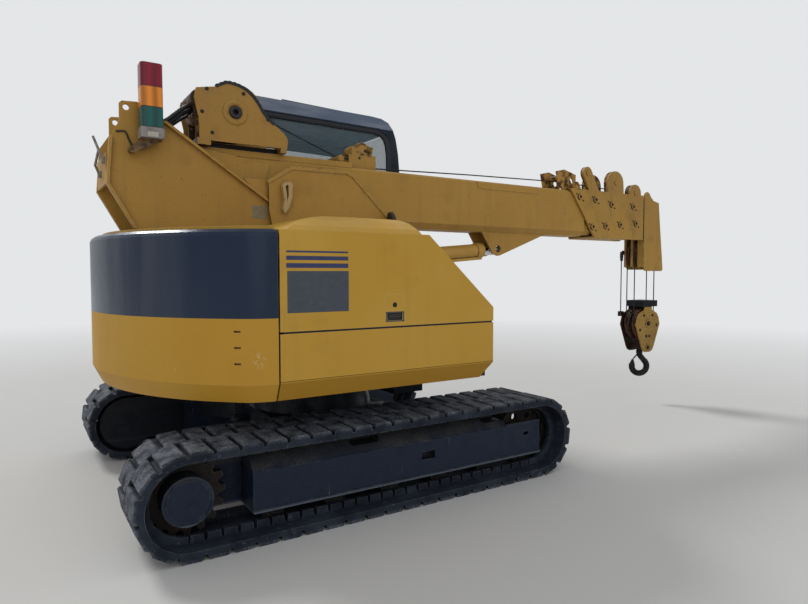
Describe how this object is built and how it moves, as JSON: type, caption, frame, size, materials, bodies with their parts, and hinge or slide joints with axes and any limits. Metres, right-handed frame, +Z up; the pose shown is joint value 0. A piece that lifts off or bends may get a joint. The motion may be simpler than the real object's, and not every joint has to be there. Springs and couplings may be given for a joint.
{
  "type": "telescopic crawler crane",
  "caption": "Compact tracked crane with slewing upper body, side cab, telescoping box boom lowered level, winch behind, hook block hanging from the head sheaves.",
  "frame": {"origin": "on the ground under the slewing axis, midway between the tracks", "axes": "+X along the lowered boom towards its tip, +Y towards the cab side, +Z up"},
  "size_m": [5.257, 2.321, 2.6293],
  "materials": {
    "yellow_paint": "weathered ochre yellow machine paint, satin",
    "counterweight_paint": "yellow casting with a dark navy upper band",
    "cab_paint": "dark charcoal navy paint",
    "frame_paint": "dusty dark blue-grey chassis paint",
    "bare_steel": "worn dark steel with rust",
    "wire_rope": "greased wire rope",
    "hook_iron": "black forged hook",
    "rod_chrome": "hard chromed rod",
    "track_rubber": "dusty black rubber",
    "window_glass": "lightly tinted glass",
    "lamp_lens": "red, amber and green lamp lenses on a grey base",
    "black_plastic": "black plastic",
    "seat_vinyl": "black vinyl",
    "engine_metal": "dark engine casting"
  },
  "bodies": {
    "undercarriage": {"car_body": "frame_paint", "slew_inner_ring": "bare_steel", "track_frame_right": "frame_paint", "track_frame_left": "frame_paint", "track_right": "track_rubber", "track_left": "track_rubber", "sprocket_right": "bare_steel", "sprocket_left": "bare_steel", "final_drive_right": "frame_paint", "final_drive_left": "frame_paint", "idler_right": "frame_paint", "idler_left": "frame_paint", "rollers_right": "bare_steel", "rollers_left": "bare_steel"},
    "upper": {"revolving_frame": "frame_paint", "slew_outer_ring": "bare_steel", "counterweight": "counterweight_paint", "rear_deck": "yellow_paint", "lower_panel_right": "yellow_paint", "cover_left": "yellow_paint", "engine_block": "engine_metal", "boom_post": "yellow_paint", "guard_plate": "yellow_paint", "signal_lamp": "lamp_lens", "side_mirror": "black_plastic", "grab_rail": "bare_steel", "cab_shell": "cab_paint", "cab_glass": "window_glass", "cab_seat": "seat_vinyl", "cab_controls": "black_plastic", "roof_rails": "bare_steel"},
    "hood": {"hood_right": "yellow_paint"},
    "door": {"cab_door": "cab_paint", "door_glass": "window_glass"},
    "boom": {"boom_base": "yellow_paint", "winch_frame": "yellow_paint", "rope_guide": "yellow_paint"},
    "drum": {"winch_drum": "bare_steel"},
    "tele_2": {"section_2": "yellow_paint"},
    "tele_3": {"section_3": "yellow_paint"},
    "tele_4": {"section_4": "yellow_paint"},
    "tele_5": {"section_5": "yellow_paint"},
    "head_sheaves": {"tip_sheaves": "bare_steel"},
    "block": {"hook_block": "yellow_paint", "rope_falls": "wire_rope"},
    "lower_sheaves": {"block_sheaves": "bare_steel"},
    "hook": {"hook": "hook_iron"},
    "barrel": {"luff_barrel": "yellow_paint"},
    "rod": {"luff_rod": "rod_chrome"}
  },
  "joints": [
    {"name": "slew", "type": "hinge", "parent": "undercarriage", "child": "upper", "pos_m": [0, 0, 0.6], "axis": [0, 0, 1], "continuous": true},
    {"name": "luff", "type": "hinge", "parent": "upper", "child": "boom", "pos_m": [-1.1, 0, 2.145], "axis": [0, -1, 0], "range_deg": [0, 80]},
    {"name": "extend_2", "type": "slide", "parent": "boom", "child": "tele_2", "axis": [1, 0, 0], "range_m": [0, 2.75]},
    {"name": "extend_3", "type": "slide", "parent": "tele_2", "child": "tele_3", "axis": [1, 0, 0], "range_m": [0, 2.75]},
    {"name": "extend_4", "type": "slide", "parent": "tele_3", "child": "tele_4", "axis": [1, 0, 0], "range_m": [0, 2.75]},
    {"name": "extend_5", "type": "slide", "parent": "tele_4", "child": "tele_5", "axis": [1, 0, 0], "range_m": [0, 2.75]},
    {"name": "head_sheave_turn", "type": "hinge", "parent": "tele_5", "child": "head_sheaves", "pos_m": [3.665, -0.02, 1.545], "axis": [0, 1, 0], "continuous": true},
    {"name": "drum_turn", "type": "hinge", "parent": "boom", "child": "drum", "pos_m": [-0.596, 0, 2.338], "axis": [0, 1, 0], "continuous": true},
    {"name": "block_swing", "type": "hinge", "parent": "tele_5", "child": "block", "pos_m": [3.665, 0, 1.545], "axis": [0, -1, 0], "range_deg": [-90, 10]},
    {"name": "block_sheave_turn", "type": "hinge", "parent": "block", "child": "lower_sheaves", "pos_m": [3.665, -0.02, 0.821], "axis": [0, 1, 0], "continuous": true},
    {"name": "hook_turn", "type": "hinge", "parent": "block", "child": "hook", "pos_m": [3.665, -0.02, 0.5], "axis": [0, 0, 1], "continuous": true},
    {"name": "barrel_swing", "type": "hinge", "parent": "upper", "child": "barrel", "pos_m": [-0.4, 0, 1.365], "axis": [0, -1, 0], "range_deg": [0, 79.33]},
    {"name": "rod_stroke", "type": "slide", "parent": "barrel", "child": "rod", "axis": [0.9964, 0, 0.0851], "range_m": [0, 1.356]},
    {"name": "door_swing", "type": "hinge", "parent": "upper", "child": "door", "pos_m": [-0.25, 1.148, 1.6], "axis": [0, 0, 1], "range_deg": [0, 150]},
    {"name": "hood_lift", "type": "hinge", "parent": "upper", "child": "hood", "pos_m": [0, -0.3, 1.565], "axis": [-1, 0, 0], "range_deg": [0, 55]}
  ],
  "couplings": [
    {"joint": "extend_3", "follows": "extend_2", "ratio": 1},
    {"joint": "extend_4", "follows": "extend_2", "ratio": 1},
    {"joint": "extend_5", "follows": "extend_2", "ratio": 1},
    {"joint": "barrel_swing", "follows": "luff", "ratio": 0.98532},
    {"joint": "rod_stroke", "follows": "luff", "m_per_rad": 0.96417},
    {"joint": "block_swing", "follows": "luff", "ratio": -1}
  ]
}
